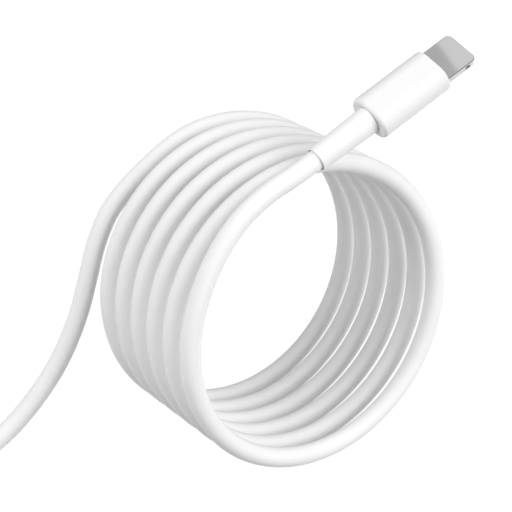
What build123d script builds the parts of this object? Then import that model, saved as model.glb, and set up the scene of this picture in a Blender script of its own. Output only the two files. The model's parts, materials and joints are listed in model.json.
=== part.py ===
from build123d import *

import math
import os

# Charging cable: a flat eight-contact device plug, a round cord wound into an
# open standing coil, and a USB-A plug on the cord's other end.
# Millimetres. The surface it stands on is z = 0 and the coil's axis runs along Y.

# ---- driving dimensions: cord ----
cord_diameter = 3.4
jacket_wall = 0.45
braid_wall = 0.12

# ---- driving dimensions: coil ----
coil_radius = 25.95
turn_pitch = 5.3
coil_turns = 5.93
coil_start_angle = 155.0
coil_x = 64.9
coil_front_y = -8.5
lead_sector = 80.0
tail_sector = 70.0

# ---- driving dimensions: device plug ----
tab_width = 6.7
tab_thickness = 1.5
tab_length = 6.65
tab_corner_radius = 0.95
tab_edge_bevel = 0.12
tab_rim = 0.65
tab_plate = 0.5
tab_root_length = 4.5
latch_notch_length = 1.3
latch_notch_depth = 0.35
latch_notch_skin = 0.35
latch_notch_middle = 4.75
contact_count = 8
contact_width = 0.38
contact_pad_length = 3.2
contact_thickness = 0.15
plug_shoulder = 0.8
plug_wall = 0.7
plug_length = 14.4
plug_end_rounding = 0.6
plug_front_rounding = 0.25
plug_roll = 29.0
tab_tip_rim = 1.0
contact_pad_margin = 0.5
contact_tail_thickness = 0.1
contact_tail_on_board = 1.2
board_thickness = 0.6
board_setback = 2.6
chip_side = 2.2
chip_height = 0.5
chip_bevel = 0.08
chip_from_board_front = 3.6
capacitor_size = (0.5, 0.9, 0.45)
capacitors_from_board_front = [3.0, 4.2]
capacitor_offset = 1.9
wire_pad_offset = 1.4
plug_inner_corner = 0.6
plug_flange_side_room = 0.6

# ---- driving dimensions: USB-A plug ----
usb_shell_width = 12.0
usb_shell_height = 4.5
usb_shell_sheet = 0.3
usb_shell_length = 12.0
usb_shell_root = 6.0
usb_window_width = 2.5
usb_window_length = 2.0
usb_window_spacing = 5.0
usb_window_from_tip = 6.1
usb_tongue_thickness = 1.95
usb_tongue_setback = 0.6
usb_contact_width = 1.0
usb_contact_thickness = 0.25
usb_contact_spacings = [-3.5, -1.0, 1.0, 3.5]
usb_outer_contact_setback = 1.4
usb_inner_contact_setback = 2.4
usb_wall = 1.3
usb_length = 19.0
usb_corner_radius = 2.8
usb_end_rounding = 1.0
usb_shell_corner = 0.6
usb_inner_corner = 0.8
usb_flange_side_room = 2.0
usb_contact_tail = 1.4
usb_filling_to_crimp = 1.0
usb_filling_to_pads = 1.3

# ---- driving dimensions: shared by both plugs ----
fit_gap = 0.05
step_gap = 0.1
shield_sheet = 0.2
crimp_wall = 0.25
crimp_length = 1.1
boot_length = 11.5
boot_wall_at_plug = 0.7
boot_wall_at_cord = 0.35
boot_neck_wall = 0.2
boot_end_rounding = 0.05
boot_mouth_gap = 0.2
boot_mouth_depth = 0.7
boot_to_housing = 0.15
boot_flange = 0.8
boot_to_crimp = 0.4
solder_room = 1.9
solder_diameter = 0.9
solder_height = 0.3
wire_bend_room = 0.2
wire_run_to_pad = 1.2
wire_on_pad = 0.9

# ---- sizes that follow ----
cord_radius = cord_diameter / 2
bore_diameter = cord_diameter - 2 * jacket_wall
braid_bore = bore_diameter - 2 * braid_wall
wire_room = braid_bore / 2 - step_gap
wire_diameter = (wire_room - math.sqrt(2) * fit_gap) / (0.5 + math.sqrt(0.5))
crimp_diameter = cord_diameter + 2 * crimp_wall
coil_middle_z = coil_radius + cord_radius
coil_length = coil_turns * turn_pitch + cord_diameter
coil_end_angle = coil_start_angle + 360 * coil_turns
wire_offset = wire_diameter / 2 + fit_gap
wire_bend_radius = 0.8 * wire_diameter
neck_diameter = cord_diameter + 2 * boot_neck_wall

plug_cavity_height = crimp_diameter + 2 * fit_gap
plug_thickness = plug_cavity_height + 2 * plug_wall
plug_width = tab_width + 2 * plug_shoulder
plug_cavity_width = plug_width - 2 * plug_wall
plug_shield_width = plug_cavity_width - 2 * fit_gap
plug_shield_height = plug_cavity_height - 2 * fit_gap
plug_shield_room = plug_shield_width - 2 * shield_sheet
plug_shield_room_height = plug_shield_height - 2 * shield_sheet
plug_flange_width = plug_cavity_width - 2 * plug_flange_side_room
tab_root_width = plug_shield_room - 2 * fit_gap
tab_root_thickness = tab_thickness - 2 * fit_gap
tab_window_width = tab_width - 2 * tab_rim
contact_pitch = (tab_window_width - 2 * contact_width) / (contact_count - 1)

usb_root_width = usb_shell_width + 2 * (fit_gap + shield_sheet)
usb_root_height = usb_shell_height + 2 * (fit_gap + shield_sheet)
usb_width = usb_root_width + 2 * (fit_gap + usb_wall)
usb_thickness = usb_root_height + 2 * (fit_gap + usb_wall)
usb_room_width = usb_shell_width - 2 * usb_shell_sheet
usb_room_height = usb_shell_height - 2 * usb_shell_sheet
usb_tongue_top = usb_tongue_thickness - usb_room_height / 2
usb_cavity_width = usb_root_width + 2 * fit_gap
usb_cavity_height = usb_root_height + 2 * fit_gap
usb_flange_width = usb_cavity_width - 2 * usb_flange_side_room

# ---- the cord's route outside the coil ----
# x from the coil's axis, y from the plane of its first turn, z from the surface
# lead: from the device plug's boot to the coil's first turn
lead_points = [
    (-2.2, 0.0, 55.9),
    (-6.3, 0.0, 53.95),
    (-11.4, 0.0, 52.2),
    (-17.0, 0.0, 48.6),
    (-21.3, 0.0, 43.4),
    (-23.56, 0.0, 38.64),
]
# tail: off the coil's last turn, down to the surface and on to the USB-A plug
tail_points = [
    (-16.64, 31.4, 47.63),
    (-22.0, 31.4, 43.33),
    (-25.8, 31.4, 36.8),
    (-27.7, 31.4, 30.2),
    (-30.0, 31.4, 23.0),
    (-34.4, 31.4, 14.8),
    (-41.5, 31.4, 7.3),
    (-48.5, 31.0, 3.1),
    (-57.0, 29.9, 1.7),
    (-68.9, 28.1, 1.7),
    (-80.9, 24.6, 1.7),
    (-93.2, 20.6, 1.7),
    (-105.0, 17.4, 3.85),
    (-114.9, 15.6, 3.85),
]
lead_route = [(coil_x + x, coil_front_y + y, z) for x, y, z in lead_points]
tail_route = [(coil_x + x, coil_front_y + y, z) for x, y, z in tail_points]


def box_between(low, high):
    size = [b - a for a, b in zip(low, high)]
    middle = [(a + b) / 2 for a, b in zip(low, high)]
    return Pos(*middle) * Box(*size)


def slab(x_low, x_high, width, height):
    """A box centred on the plug's axis."""
    return box_between((x_low, -width / 2, -height / 2), (x_high, width / 2, height / 2))


def rod(x_low, x_high, diameter):
    """A cylinder along the plug's axis."""
    turned = Rot(0, 90, 0) * Cylinder(diameter / 2, x_high - x_low)
    return Pos((x_low + x_high) / 2, 0, 0) * turned


def oval(x_low, x_high, width, height, corner):
    """A rounded bar along the plug's axis."""
    face = Plane.YZ.offset(x_low) * RectangleRounded(width, height, corner)
    return extrude(face, x_high - x_low)


def tube_along(points, diameter, arc_share=0.45):
    """A round bar along straight runs joined by tangent arcs, each using a share of its runs."""
    corners = [Vector(*p) for p in points]
    radii = []
    for before, here, after in zip(corners, corners[1:], corners[2:]):
        runs = (here - before, after - here)
        turn = math.radians(runs[0].get_angle(runs[1]))
        radii.append(arc_share * min(runs[0].length, runs[1].length) / math.tan(turn / 2))
    path = FilletPolyline(*corners, radius=radii)
    start = Plane(origin=corners[0], z_dir=corners[1] - corners[0])
    bar = sweep(start * Circle(diameter / 2), path=path)
    return bar, path.length, radii


def half(shell, upper):
    """The upper or lower half of a piece, split at the plug's mid-plane."""
    box = shell.bounding_box()
    low, high = (0, box.max.Z) if upper else (box.min.Z, 0)
    keep = box_between((box.min.X, box.min.Y, low), (box.max.X, box.max.Y, high))
    return shell & keep


# ---- pieces that both plugs have; x = 0 at the housing's front, +x to the tip ----
def boot(plug_back, flange_width, flange_height, wall):
    """Moulded strain relief: tapered sleeve, neck through the wall and inner flange."""
    end = -plug_back - boot_length
    front = -plug_back - boot_to_housing
    radii = (cord_radius + boot_wall_at_cord, cord_radius + boot_wall_at_plug)
    sleeve = Pos((end + front) / 2, 0, 0) * Rot(0, 90, 0) * Cone(*radii, front - end)
    sleeve = fillet(sleeve.edges().group_by(Axis.X)[0], boot_end_rounding)
    sleeve -= rod(end, end + boot_mouth_depth, cord_diameter + 2 * boot_mouth_gap)
    neck = rod(front, -plug_back + wall, neck_diameter)
    inner = -plug_back + wall
    flange = slab(inner, inner + boot_flange, flange_width, flange_height)
    return sleeve + neck + flange - rod(end, inner + boot_flange, cord_diameter)


def cord_end(plug_back, front):
    """Jacket and braid of the cord inside the boot, up to the crimp."""
    end = -plug_back - boot_length
    jacket = rod(end, front, cord_diameter) - rod(end, front, bore_diameter)
    braid = rod(end, front, bore_diameter) - rod(end, front, braid_bore)
    return jacket, braid


def wire(end, bend, side, lift, pad):
    """One insulated wire, from the cord's section to its pad."""
    y, z = side * wire_offset, lift * wire_offset
    points = [(end, y, z), (bend, y, z), (pad[0] - wire_run_to_pad, pad[1], pad[2]), pad]
    corners = [Vector(*p) for p in points]
    path = FilletPolyline(*corners, radius=wire_bend_radius)
    start = Plane(origin=corners[0], z_dir=(1, 0, 0))
    return sweep(start * Circle(wire_diameter / 2), path=path)


def ring(x_low, x_high, outer_diameter, inner_diameter):
    """A short round tube along the plug's axis."""
    return rod(x_low, x_high, outer_diameter) - rod(x_low, x_high, inner_diameter)


def device_plug():
    """Every piece of the flat eight-contact plug."""
    slot_top = tab_thickness / 2 - tab_plate
    board_low = slot_top - board_thickness
    slot_low = board_low - contact_tail_thickness
    pad_back = (tab_length - contact_pad_length) / 2
    pad_front = pad_back + contact_pad_length
    window = pad_back - contact_pad_margin
    window_end = tab_length - tab_tip_rim
    half_width = tab_window_width / 2
    face = -tab_thickness / 2
    crimp_back = -plug_length + plug_wall + boot_flange + boot_to_crimp
    crimp_front = crimp_back + crimp_length
    shield_back = crimp_front + fit_gap
    board_front = -board_setback
    board_back = shield_back + solder_room
    cord_entry = -plug_length - boot_length

    # metal frame: the tab itself, with its root narrowed to sit inside the shield
    tab = slab(0, tab_length, tab_width, tab_thickness)
    tip_edges = tab.edges().filter_by(Axis.Z).group_by(Axis.X)[-1]
    tab = fillet(tip_edges, tab_corner_radius)
    rim_edges = tab.faces().sort_by(Axis.Z)[-1].edges() + tab.faces().sort_by(Axis.Z)[0].edges()
    tab = chamfer(rim_edges, tab_edge_bevel)
    root = slab(-tab_root_length, 0, tab_root_width, tab_root_thickness)
    notch = Cylinder(latch_notch_length / 2, tab_thickness - 2 * latch_notch_skin)
    reach = tab_width / 2 + latch_notch_length / 2 - latch_notch_depth
    frame = tab + root
    frame -= Pos(latch_notch_middle, reach, 0) * notch
    frame -= Pos(latch_notch_middle, -reach, 0) * notch
    frame -= box_between((window, -half_width, face), (window_end, half_width, slot_top))
    slot = box_between((-tab_root_length, -half_width, slot_low), (window, half_width, slot_top))
    frame -= slot
    yield "tab_frame", frame

    # eight contacts: a pad flush with the tab's underside and a tail to the board
    tail_back = board_front - contact_tail_on_board
    contacts = []
    for n in range(contact_count):
        y = (n - (contact_count - 1) / 2) * contact_pitch
        low, high = y - contact_width / 2, y + contact_width / 2
        pad = box_between((pad_back, low, face), (pad_front, high, face + contact_thickness))
        riser = box_between((pad_back, low, face), (pad_back + contact_thickness, high, board_low))
        tail = box_between((tail_back, low, slot_low), (pad_back, high, board_low))
        contacts.append(pad + riser + tail)
    yield "contacts", Compound(children=contacts)

    # plastic body that carries the contacts and closes the frame's window
    insulator = box_between((window, -half_width, face), (window_end, half_width, slot_top))
    insulator += box_between((board_front, -half_width, slot_low), (window, half_width, slot_top))
    for contact in contacts:
        insulator -= contact
    yield "contact_insulator", insulator

    # circuit board, its chip and its capacitors
    board_half = half_width - fit_gap
    board = box_between((board_back, -board_half, board_low), (board_front, board_half, slot_top))
    yield "plug_circuit_board", board
    chip = Box(chip_side, chip_side, chip_height)
    chip = chamfer(chip.edges().group_by(Axis.Z)[-1], chip_bevel)
    yield "id_chip", Pos(board_front - chip_from_board_front, 0, slot_top + chip_height / 2) * chip
    capacitors = []
    for setback in capacitors_from_board_front:
        for side in (-capacitor_offset, capacitor_offset):
            spot = Pos(board_front - setback, side, slot_top + capacitor_size[2] / 2)
            capacitors.append(spot * Box(*capacitor_size))
    yield "chip_capacitors", Compound(children=capacitors)

    # stamped shield in two halves around the root and the board
    outer = slab(shield_back, -plug_wall - fit_gap, plug_shield_width, plug_shield_height)
    outer = fillet(outer.edges().filter_by(Axis.X), plug_inner_corner)
    room_back = shield_back + shield_sheet
    room = slab(room_back, -plug_wall - fit_gap, plug_shield_room, plug_shield_room_height)
    shield = outer - room - rod(shield_back, board_back, bore_diameter)
    yield "shield_shell_upper", half(shield, True)
    yield "shield_shell_lower", half(shield, False)

    # wires: two above and two below the board's middle, soldered at its back edge
    pad_x = board_back + wire_on_pad
    above = slot_top + wire_diameter / 2
    below = board_low - wire_diameter / 2
    bend = room_back + wire_bend_room
    offset = wire_pad_offset
    wires = {
        "power_wire": wire(cord_entry, bend, -1, 1, (pad_x, -offset, above)),
        "ground_wire": wire(cord_entry, bend, 1, 1, (pad_x, offset, above)),
        "data_plus_wire": wire(cord_entry, bend, -1, -1, (pad_x, -offset, below)),
        "data_minus_wire": wire(cord_entry, bend, 1, -1, (pad_x, offset, below)),
    }
    yield from wires.items()
    joints = []
    for level in (slot_top + solder_height / 2, board_low - solder_height / 2):
        for side in (-offset, offset):
            dome = Cylinder(solder_diameter / 2, solder_height)
            joints.append(Pos(pad_x + solder_diameter / 2, side, level) * dome)
    yield "solder_joints", Compound(children=joints)

    # moulded filling around the wires, behind the board
    filling_width = plug_shield_room - 2 * fit_gap
    filling_height = plug_shield_room_height - 2 * fit_gap
    filling = slab(room_back + fit_gap, board_back - fit_gap, filling_width, filling_height)
    for one in wires.values():
        filling -= one
    yield "inner_mould", filling

    # crimp ring, jacket end, braid and boot
    yield "crimp_ring", ring(crimp_back, crimp_front, crimp_diameter, cord_diameter)
    jacket, braid = cord_end(plug_length, crimp_front)
    yield "cord_jacket_end", jacket
    yield "cord_braid_end", braid
    flange_height = plug_cavity_height - 2 * fit_gap
    yield "plug_strain_relief", boot(plug_length, plug_flange_width, flange_height, plug_wall)

    # outer housing: an oval sleeve with a soft back edge, closed around the tab
    corner = 0.499 * plug_thickness
    housing = oval(-plug_length, 0, plug_width, plug_thickness, corner)
    housing = fillet(housing.edges().group_by(Axis.X)[0], plug_end_rounding)
    housing = fillet(housing.edges().group_by(Axis.X)[-1], plug_front_rounding)
    inner_back = -plug_length + plug_wall
    cavity_height = plug_cavity_height
    cavity = oval(inner_back, -plug_wall, plug_cavity_width, cavity_height, plug_inner_corner)
    neck_hole = rod(-plug_length, inner_back, neck_diameter)
    tab_hole = slab(-plug_wall, 0, tab_root_width, tab_root_thickness)
    yield "plug_housing", housing - cavity - neck_hole - tab_hole


def usb_plug():
    """Every piece of the USB-A plug."""
    crimp_back = -usb_length + usb_wall + boot_flange + boot_to_crimp
    crimp_front = crimp_back + crimp_length
    shield_back = crimp_front + fit_gap
    shield_front = -usb_wall - fit_gap
    cord_entry = -usb_length - boot_length
    shell_ends = (-usb_shell_root, usb_shell_length)
    room_corner = usb_shell_corner - usb_shell_sheet

    # pressed steel shell with its four latch windows
    shell = oval(*shell_ends, usb_shell_width, usb_shell_height, usb_shell_corner)
    shell -= oval(*shell_ends, usb_room_width, usb_room_height, room_corner)
    window = Box(usb_window_length, usb_window_width, 2 * usb_shell_height)
    for side in (-1, 1):
        across = side * usb_window_spacing / 2
        shell -= Pos(usb_shell_length - usb_window_from_tip, across, 0) * window
    yield "usb_shell", shell

    # contacts lie flush in the tongue's upper face; the outer two reach further out
    contacts = []
    tail_back = -usb_shell_root - usb_contact_tail
    for y in usb_contact_spacings:
        is_outer = abs(y) == max(usb_contact_spacings)
        setback = usb_outer_contact_setback if is_outer else usb_inner_contact_setback
        near = (tail_back, y - usb_contact_width / 2, usb_tongue_top - usb_contact_thickness)
        far = (usb_shell_length - setback, y + usb_contact_width / 2, usb_tongue_top)
        contacts.append(box_between(near, far))
    yield "usb_contacts", Compound(children=contacts)

    # insulator: a block that fills the shell's root, and the tongue in front of it
    wide = usb_room_width / 2 - fit_gap
    low = -usb_room_height / 2 + fit_gap
    tongue_end = usb_shell_length - usb_tongue_setback
    insulator = box_between((-usb_shell_root, -wide, low), (0, wide, -low))
    insulator += box_between((0, -wide, low), (tongue_end, wide, usb_tongue_top))
    insulator &= oval(-usb_shell_root, tongue_end, 2 * wide, -2 * low, room_corner)
    for contact in contacts:
        insulator -= contact
    yield "usb_insulator", insulator

    # stamped shield in two halves, clamped on the shell's root
    outer = slab(shield_back, shield_front, usb_root_width, usb_root_height)
    outer = fillet(outer.edges().filter_by(Axis.X), usb_inner_corner)
    room_width = usb_root_width - 2 * shield_sheet
    room_height = usb_root_height - 2 * shield_sheet
    room = slab(shield_back + shield_sheet, shield_front, room_width, room_height)
    room = fillet(room.edges().filter_by(Axis.X), usb_inner_corner - shield_sheet)
    shield = outer - room - rod(shield_back, shield_back + shield_sheet, bore_diameter)
    yield "usb_shield_upper", half(shield, True)
    yield "usb_shield_lower", half(shield, False)

    # wires, each on its own contact's tail
    pad_x = -usb_shell_root - wire_on_pad
    pad_z = usb_tongue_top + wire_diameter / 2
    bend = shield_back + shield_sheet + wire_bend_room
    names = ("usb_power_wire", "usb_data_minus_wire", "usb_data_plus_wire", "usb_ground_wire")
    corners = ((-1, -1), (-1, 1), (1, 1), (1, -1))
    wires = {}
    for name, (side, lift), y in zip(names, corners, usb_contact_spacings):
        wires[name] = wire(cord_entry, bend, side, lift, (pad_x, y, pad_z))
    yield from wires.items()

    # moulded filling around the wires, behind the contacts' tails
    filling_back = bend + usb_filling_to_crimp
    filling_front = pad_x - usb_filling_to_pads
    filling_width = room_width - 2 * fit_gap
    filling = slab(filling_back, filling_front, filling_width, room_height - 2 * fit_gap)
    filling = fillet(filling.edges().filter_by(Axis.X), usb_inner_corner - shield_sheet)
    for one in wires.values():
        filling -= one
    yield "usb_inner_mould", filling

    # crimp ring, jacket end, braid and boot
    yield "usb_crimp_ring", ring(crimp_back, crimp_front, crimp_diameter, cord_diameter)
    jacket, braid = cord_end(usb_length, crimp_front)
    yield "usb_cord_jacket_end", jacket
    yield "usb_cord_braid_end", braid
    flange_height = usb_cavity_height - 2 * fit_gap
    yield "usb_strain_relief", boot(usb_length, usb_flange_width, flange_height, usb_wall)

    # outer housing
    housing = oval(-usb_length, 0, usb_width, usb_thickness, usb_corner_radius)
    housing = fillet(housing.edges().group_by(Axis.X)[0], usb_end_rounding)
    housing = fillet(housing.edges().group_by(Axis.X)[-1], usb_end_rounding)
    inner_back = -usb_length + usb_wall
    cavity_height = usb_cavity_height
    cavity = oval(inner_back, -usb_wall, usb_cavity_width, cavity_height, usb_inner_corner)
    neck_hole = rod(-usb_length, inner_back, neck_diameter)
    shell_hole = oval(-usb_wall, 0, usb_shell_width, usb_shell_height, usb_shell_corner)
    yield "usb_housing", housing - cavity - neck_hole - shell_hole


def plug_place(boot_end, next_point, length, roll):
    """Where a plug's own frame lies: its axis carries on the cord's end run."""
    axis = (Vector(*boot_end) - Vector(*next_point)).normalized()
    side = Vector(0, 0, 1).cross(axis).normalized()
    up = axis.cross(side)
    face = up.rotate(Axis((0, 0, 0), tuple(axis)), roll)
    front = Vector(*boot_end) + axis * (length + boot_length)
    return Plane(origin=front, x_dir=axis, z_dir=face).location


def coil_shape():
    """The outer shape of the wound turns: a ring on its rim, stepped where the cord leaves."""
    front = coil_front_y - cord_radius
    turned = Pos(coil_x, front + coil_length / 2, coil_middle_z) * Rot(90, 0, 0)
    turns = turned * Cylinder(coil_radius + cord_radius, coil_length)
    turns -= turned * Cylinder(coil_radius - cord_radius, coil_length)
    # the first turn isn't there where the lead and its boot come in
    lead_step = cord_diameter + boot_wall_at_plug + step_gap
    turns -= sector(coil_start_angle - lead_sector, coil_start_angle, front, front + lead_step)
    # nor the last where the tail goes off
    back = front + coil_length
    tail_step = cord_diameter + step_gap
    turns -= sector(coil_end_angle, coil_end_angle + tail_sector, back - tail_step, back)
    return turns


def sector(from_angle, to_angle, y_low, y_high):
    """A wedge about the coil's axis, between two angles and two planes."""
    reach = 2 * coil_radius
    rim = [(0, 0)]
    for angle in (from_angle, (from_angle + to_angle) / 2, to_angle):
        turn = math.radians(angle)
        rim.append((reach * math.cos(turn), reach * math.sin(turn)))
    plane = Plane(origin=(coil_x, y_high, coil_middle_z), x_dir=(1, 0, 0), z_dir=(0, -1, 0))
    return extrude(plane * make_face(Polyline(*rim, close=True)), y_high - y_low)


def save(name, piece, place=Location()):
    export_step(piece.moved(place), f"parts/{name}.step")


os.makedirs("parts", exist_ok=True)

device_place = plug_place(lead_route[0], lead_route[1], plug_length, plug_roll)
for name, piece in device_plug():
    save(name, piece, device_place)

usb_place = plug_place(tail_route[-1], tail_route[-2], usb_length, 0)
for name, piece in usb_plug():
    save(name, piece, usb_place)

save("cord_coil", coil_shape())

for name, route in (("cord_lead", lead_route), ("cord_tail", tail_route)):
    tube, length, radii = tube_along(route, cord_diameter)
    section = math.pi * cord_radius**2
    print(name, "length", round(length, 1), "radii", [round(r, 1) for r in radii])
    print(name, "volume over section times length", round(tube.volume / (section * length), 4))
    save(name, tube)

one_turn = math.hypot(2 * math.pi * coil_radius, turn_pitch)
print("cord in the coil", round(coil_turns * one_turn, 1))
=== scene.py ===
import json
import math

import bpy
from mathutils import Matrix, Vector


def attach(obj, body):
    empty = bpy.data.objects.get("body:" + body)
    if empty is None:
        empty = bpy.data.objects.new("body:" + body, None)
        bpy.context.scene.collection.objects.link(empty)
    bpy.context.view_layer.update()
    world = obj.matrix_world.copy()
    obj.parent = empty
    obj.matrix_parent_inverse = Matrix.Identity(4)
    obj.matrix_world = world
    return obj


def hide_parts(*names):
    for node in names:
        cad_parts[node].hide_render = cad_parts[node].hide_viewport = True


# A white charging cable: its cord stands as an open coil on a pale studio floor.
# Metres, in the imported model's frame. MM turns the part's millimetres into metres.

MM = 0.001

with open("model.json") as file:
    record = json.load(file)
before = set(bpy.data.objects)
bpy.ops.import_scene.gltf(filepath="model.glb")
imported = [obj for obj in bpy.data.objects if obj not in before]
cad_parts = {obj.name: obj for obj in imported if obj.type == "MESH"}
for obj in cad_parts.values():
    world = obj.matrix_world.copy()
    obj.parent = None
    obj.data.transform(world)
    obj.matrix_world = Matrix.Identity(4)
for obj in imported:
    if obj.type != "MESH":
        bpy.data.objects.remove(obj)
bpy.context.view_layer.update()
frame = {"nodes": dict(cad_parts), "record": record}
nodes = frame["nodes"]

# ---- sizes shared with the CAD part, in millimetres ----
CORD_DIAMETER = 3.4
COIL_RADIUS = 25.95
TURN_PITCH = 5.3
COIL_TURNS = 5.93
COIL_START = 155.0
COIL_X = 64.9
COIL_FRONT_Y = -8.5
COIL_MIDDLE_Z = COIL_RADIUS + CORD_DIAMETER / 2
POINTS_PER_TURN = 24

# shares of the middle and outer control points in the smooth line, halfway along a span
MIDDLE_SHARE = 0.75
OUTER_SHARE = 0.25

LINE_STEPS = 6
ROUND_STEPS = 10

# x from the coil's axis, y from the plane of its first turn, z from the surface
LEAD_POINTS = [
    (-2.2, 0.0, 55.9),
    (-6.3, 0.0, 53.95),
    (-11.4, 0.0, 52.2),
    (-17.0, 0.0, 48.6),
    (-21.3, 0.0, 43.4),
]
TAIL_POINTS = [
    (-22.1, 31.4, 43.45),
    (-25.8, 31.4, 36.8),
    (-27.7, 31.4, 30.2),
    (-30.0, 31.4, 23.0),
    (-34.4, 31.4, 14.8),
    (-41.5, 31.4, 7.3),
    (-48.5, 31.0, 3.1),
    (-57.0, 29.9, 1.7),
    (-68.9, 28.1, 1.7),
    (-80.9, 24.6, 1.7),
    (-93.2, 20.6, 1.7),
    (-105.0, 17.4, 3.85),
    (-114.9, 15.6, 3.85),
]

# ---- camera, in millimetres: it stands where the photograph was taken from ----
EYE_PLACE = (-90.46, -224.55, 147.30)
EYE_RIGHT = (0.83621, -0.54840, 0.0)
EYE_UP = (0.20726, 0.31599, 0.92585)
LENS = 122.67
SENSOR_WIDTH = 36.0
CLIP_NEAR = 0.01  # metres
CLIP_FAR = 20.0  # metres

# ---- looks ----
CORD_WHITE = (0.86, 0.86, 0.865)
CORD_SHADE = (0.845, 0.845, 0.85)
HOUSING_WHITE = (0.815, 0.815, 0.82)
HOUSING_SHADE = (0.8, 0.8, 0.805)
PLUG_TURN = (0.0, math.radians(-25.44), 0.0)
ACROSS = (0.08, 1, 1)
CLOUD_DETAIL = 4.0
GRAIN_DETAIL = 3.0
SHADE_UP_TO = 0.3
COLOR_FROM = 0.7
PLASTIC_SHEEN = 0.5
GLOW_BY_COLOR = (1.0, 0.95, 0.9)
GLOW_DEPTH = 0.6

# ---- studio ----
# metres; the key and the fill aim at the coil's middle
COIL_MIDDLE = (0.065, 0.008, 0.028)
LIGHT_AROUND = 0.37
FLOOR_HALF = 3.0
FLOOR_TONE = (0.08, 0.08, 0.08, 1)
FLOOR_ROUGHNESS = 0.9
FLOOR_SHEEN = 0.1
FLOOR_GLOW = 1.0
WHITE = (1, 1, 1, 1)
BLACK = (0, 0, 0, 1)
KEY_PLACE = (0.42, -0.62, 0.30)
KEY_SIZE = 0.8
KEY_POWER = 5.2
FILL_PLACE = (-0.45, -0.08, 0.5)
FILL_SIZE = 0.3
FILL_POWER = 2.9
CARD_HEIGHT = 0.2
CARD_ENDS = (0.03, 0.0903, 0.14)
CARD_SIDES = (-0.06, 0.03)
CARD_DIM = 0.62
CARD_BRIGHT = 0.92


def coil_points():
    """Control points of the wound turns, set out so that the smooth line has the coil's radius."""
    step = 360 / POINTS_PER_TURN
    reach = COIL_RADIUS / (MIDDLE_SHARE + OUTER_SHARE * math.cos(math.radians(step)))
    first = COIL_START + step / 4
    count = int((360 * COIL_TURNS - step / 2) / step) + 1
    points = []
    for n in range(count):
        angle = first + n * step
        turn = math.radians(angle)
        along = TURN_PITCH * (angle - COIL_START) / 360
        points.append((reach * math.cos(turn), along, COIL_MIDDLE_Z + reach * math.sin(turn)))
    return points


def cord_route():
    points = LEAD_POINTS + coil_points() + TAIL_POINTS
    return [Vector((COIL_X + x, COIL_FRONT_Y + y, z)) * MM for x, y, z in points]


def linked(name, data):
    piece = bpy.data.objects.new(name, data)
    bpy.context.scene.collection.objects.link(piece)
    return piece


def camera():
    data = bpy.data.cameras.new("camera")
    data.lens = LENS
    data.sensor_width = SENSOR_WIDTH
    data.clip_start = CLIP_NEAR
    data.clip_end = CLIP_FAR
    eye = linked("camera", data)
    right = Vector(EYE_RIGHT)
    up = Vector(EYE_UP)
    turn = Matrix((right, up, right.cross(up))).transposed()
    eye.matrix_world = Matrix.Translation(Vector(EYE_PLACE) * MM) @ turn.to_4x4()
    bpy.context.scene.camera = eye


def make_cord():
    """The whole cord on one smooth line. The radius is on its points, so that its box is right."""
    data = bpy.data.curves.new("cord", "CURVE")
    data.dimensions = "3D"
    route = cord_route()
    spline = data.splines.new("NURBS")
    spline.points.add(len(route) - 1)
    for point, place in zip(spline.points, route):
        point.co = (*place, 1.0)
        point.radius = CORD_DIAMETER / 2 * MM
    spline.order_u = 3
    spline.use_endpoint_u = True
    spline.resolution_u = LINE_STEPS
    data.resolution_u = LINE_STEPS
    data.bevel_depth = 1.0
    data.bevel_resolution = ROUND_STEPS
    data.use_fill_caps = True
    return linked("charging_cord", data)


camera()
cord = make_cord()
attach(cord, "root")
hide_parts("cord_lead", "cord_coil", "cord_tail")


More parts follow.
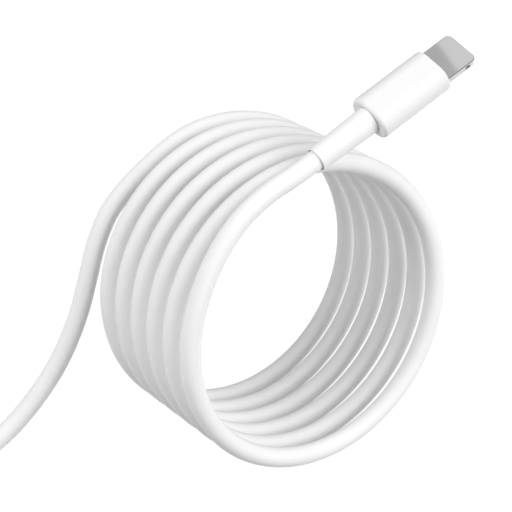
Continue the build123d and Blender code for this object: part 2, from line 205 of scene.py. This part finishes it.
# ---- materials: each is a procedural finish in the row frame ----
def finish_of(
    name, color, shade, roughness, grain, relief, mottle=8.0, uneven=0.06, stretch=(1, 1, 1)
):
    """A finish whose colour wanders between two tones, with uneven gloss and a fine grain.

    grain, relief and mottle are in millimetres. stretch draws the grain out along the device
    plug's axis, across it or through it, as brushing does.
    """
    material = bpy.data.materials.new(name)
    material.use_nodes = True
    tree = material.node_tree
    shader = tree.nodes["Principled BSDF"]

    place = tree.nodes.new("ShaderNodeTexCoord")
    frame_turn = tree.nodes.new("ShaderNodeMapping")
    frame_turn.vector_type = "TEXTURE"
    frame_turn.inputs["Rotation"].default_value = PLUG_TURN
    drawn = tree.nodes.new("ShaderNodeMapping")
    drawn.inputs["Scale"].default_value = stretch
    tree.links.new(place.outputs["Object"], frame_turn.inputs["Vector"])
    tree.links.new(frame_turn.outputs["Vector"], drawn.inputs["Vector"])

    cloud = tree.nodes.new("ShaderNodeTexNoise")
    cloud.inputs["Scale"].default_value = 1 / (mottle * MM)
    cloud.inputs["Detail"].default_value = CLOUD_DETAIL
    tree.links.new(place.outputs["Object"], cloud.inputs["Vector"])
    tones = tree.nodes.new("ShaderNodeValToRGB")
    tones.color_ramp.elements[0].position = SHADE_UP_TO
    tones.color_ramp.elements[0].color = (*shade, 1)
    tones.color_ramp.elements[1].position = COLOR_FROM
    tones.color_ramp.elements[1].color = (*color, 1)
    tree.links.new(cloud.outputs["Fac"], tones.inputs["Fac"])
    tree.links.new(tones.outputs["Color"], shader.inputs["Base Color"])

    grains = tree.nodes.new("ShaderNodeTexNoise")
    grains.inputs["Scale"].default_value = 1 / (grain * MM)
    grains.inputs["Detail"].default_value = GRAIN_DETAIL
    tree.links.new(drawn.outputs["Vector"], grains.inputs["Vector"])
    gloss = tree.nodes.new("ShaderNodeMapRange")
    gloss.inputs["To Min"].default_value = roughness - uneven
    gloss.inputs["To Max"].default_value = roughness + uneven
    tree.links.new(grains.outputs["Fac"], gloss.inputs["Value"])
    tree.links.new(gloss.outputs["Result"], shader.inputs["Roughness"])
    bump = tree.nodes.new("ShaderNodeBump")
    bump.inputs["Strength"].default_value = 1.0
    bump.inputs["Distance"].default_value = relief * MM
    tree.links.new(grains.outputs["Fac"], bump.inputs["Height"])
    tree.links.new(bump.outputs["Normal"], shader.inputs["Normal"])
    return material, shader


def plastic(
    name, color, shade, roughness=0.4, grain=0.12, relief=0.002, translucent=0.0, **more
):
    material, shader = finish_of(name, color, shade, roughness, grain, relief, **more)
    shader.inputs["Specular IOR Level"].default_value = PLASTIC_SHEEN
    shader.inputs["Subsurface Weight"].default_value = translucent
    shader.inputs["Subsurface Radius"].default_value = GLOW_BY_COLOR
    shader.inputs["Subsurface Scale"].default_value = GLOW_DEPTH * MM
    return material


def metal(name, color, shade, roughness=0.2, grain=0.05, relief=0.0008, **more):
    material, shader = finish_of(name, color, shade, roughness, grain, relief, **more)
    shader.inputs["Metallic"].default_value = 1.0
    return material


materials = {
    "cord_white": plastic("cord_white", CORD_WHITE, CORD_SHADE, 0.42, translucent=0.15),
    "boot_white": plastic("boot_white", CORD_WHITE, CORD_SHADE, 0.4, translucent=0.15),
    "housing_white": plastic(
        "housing_white", HOUSING_WHITE, HOUSING_SHADE, 0.24,
        relief=0.0006, translucent=0.1,
    ),
    "tab_metal": metal(
        "tab_metal", (0.63, 0.63, 0.64), (0.6, 0.6, 0.61), 0.045,
        relief=0.0003, stretch=ACROSS, uneven=0.015,
    ),
    "gold_contacts": metal("gold_contacts", (0.86, 0.68, 0.33), (0.8, 0.6, 0.28), 0.22),
    "contact_plastic": plastic("contact_plastic", (0.07, 0.07, 0.075), (0.05, 0.05, 0.055), 0.5),
    "circuit_board": plastic(
        "circuit_board", (0.03, 0.2, 0.09), (0.02, 0.13, 0.06), 0.35,
        grain=0.25,
    ),
    "chip_black": plastic("chip_black", (0.025, 0.025, 0.028), (0.015, 0.015, 0.018), 0.55),
    "capacitor_brown": plastic("capacitor_brown", (0.4, 0.27, 0.16), (0.33, 0.22, 0.13), 0.5),
    "shield_steel": metal("shield_steel", (0.7, 0.7, 0.7), (0.62, 0.62, 0.63), 0.3, stretch=ACROSS),
    "red_wire": plastic("red_wire", (0.62, 0.03, 0.03), (0.5, 0.02, 0.02), 0.4),
    "black_wire": plastic("black_wire", (0.02, 0.02, 0.02), (0.012, 0.012, 0.012), 0.4),
    "green_wire": plastic("green_wire", (0.03, 0.35, 0.1), (0.02, 0.27, 0.08), 0.4),
    "white_wire": plastic("white_wire", (0.82, 0.82, 0.8), (0.75, 0.75, 0.72), 0.4),
    "solder": metal(
        "solder", (0.75, 0.75, 0.77), (0.66, 0.66, 0.68), 0.18,
        grain=0.2, relief=0.004,
    ),
    "clear_mould": plastic(
        "clear_mould", (0.72, 0.7, 0.62), (0.62, 0.6, 0.52), 0.3,
        grain=0.6, translucent=0.5,
    ),
    "crimp_metal": metal("crimp_metal", (0.72, 0.72, 0.74), (0.64, 0.64, 0.66), 0.28),
    "braid_metal": metal(
        "braid_metal", (0.6, 0.58, 0.55), (0.4, 0.38, 0.35), 0.35,
        grain=0.12, relief=0.03,
    ),
    "usb_shell_steel": metal(
        "usb_shell_steel", (0.74, 0.74, 0.74), (0.68, 0.68, 0.69), 0.2,
        stretch=ACROSS,
    ),
    "tongue_plastic": plastic("tongue_plastic", (0.84, 0.84, 0.82), (0.78, 0.78, 0.76), 0.45),
}

for part in frame["record"]["subparts"]:
    mesh = nodes[part["node"]].data
    mesh.materials.clear()
    mesh.materials.append(materials[part["material_slot"]])
cord.data.materials.append(materials["cord_white"])


# ---- studio ----
def make_floor():
    half = FLOOR_HALF
    mesh = bpy.data.meshes.new("floor")
    rim = [(-half, -half, 0), (half, -half, 0), (half, half, 0), (-half, half, 0)]
    mesh.from_pydata(rim, [], [(0, 1, 2, 3)])
    floor = linked("floor", mesh)
    material = bpy.data.materials.new("floor")
    material.use_nodes = True
    shader = material.node_tree.nodes["Principled BSDF"]
    shader.inputs["Base Color"].default_value = FLOOR_TONE
    shader.inputs["Roughness"].default_value = FLOOR_ROUGHNESS
    shader.inputs["Specular IOR Level"].default_value = FLOOR_SHEEN
    shader.inputs["Emission Color"].default_value = WHITE
    shader.inputs["Emission Strength"].default_value = FLOOR_GLOW
    mesh.materials.append(material)
    floor.visible_diffuse = False
    floor.visible_shadow = False


def area_light(name, place, aim, size, power):
    data = bpy.data.lights.new(name, "AREA")
    data.shape = "DISK"
    data.size = size
    data.energy = power
    light = linked(name, data)
    direction = Vector(aim) - Vector(place)
    light.rotation_euler = direction.to_track_quat("-Z", "Y").to_euler()
    light.location = place
    light.visible_camera = False
    light.visible_glossy = False


def glowing(name, strength):
    material = bpy.data.materials.new(name)
    material.use_nodes = True
    shader = material.node_tree.nodes["Principled BSDF"]
    shader.inputs["Base Color"].default_value = BLACK
    shader.inputs["Emission Color"].default_value = WHITE
    shader.inputs["Emission Strength"].default_value = strength
    return material


def reflector():
    """A card over the device plug for the tab to mirror, dim at one end, bright at the other."""
    front, back = CARD_SIDES
    rim = [(x, y, CARD_HEIGHT) for x in CARD_ENDS for y in (front, back)]
    mesh = bpy.data.meshes.new("reflector")
    mesh.from_pydata(rim, [], [(0, 2, 3, 1), (2, 4, 5, 3)])
    mesh.materials.append(glowing("card_dim", CARD_DIM))
    mesh.materials.append(glowing("card_bright", CARD_BRIGHT))
    mesh.polygons[1].material_index = 1
    card = linked("reflector", mesh)
    card.visible_camera = False
    card.visible_diffuse = False
    card.visible_shadow = False


def make_studio():
    world = bpy.data.worlds.new("studio")
    bpy.context.scene.world = world
    world.use_nodes = True
    background = world.node_tree.nodes["Background"]
    background.inputs["Color"].default_value = WHITE
    background.inputs["Strength"].default_value = LIGHT_AROUND
    area_light("key", KEY_PLACE, COIL_MIDDLE, KEY_SIZE, KEY_POWER)
    area_light("fill", FILL_PLACE, COIL_MIDDLE, FILL_SIZE, FILL_POWER)
    reflector()
    bpy.context.scene.view_settings.view_transform = "Standard"


make_floor()
make_studio()
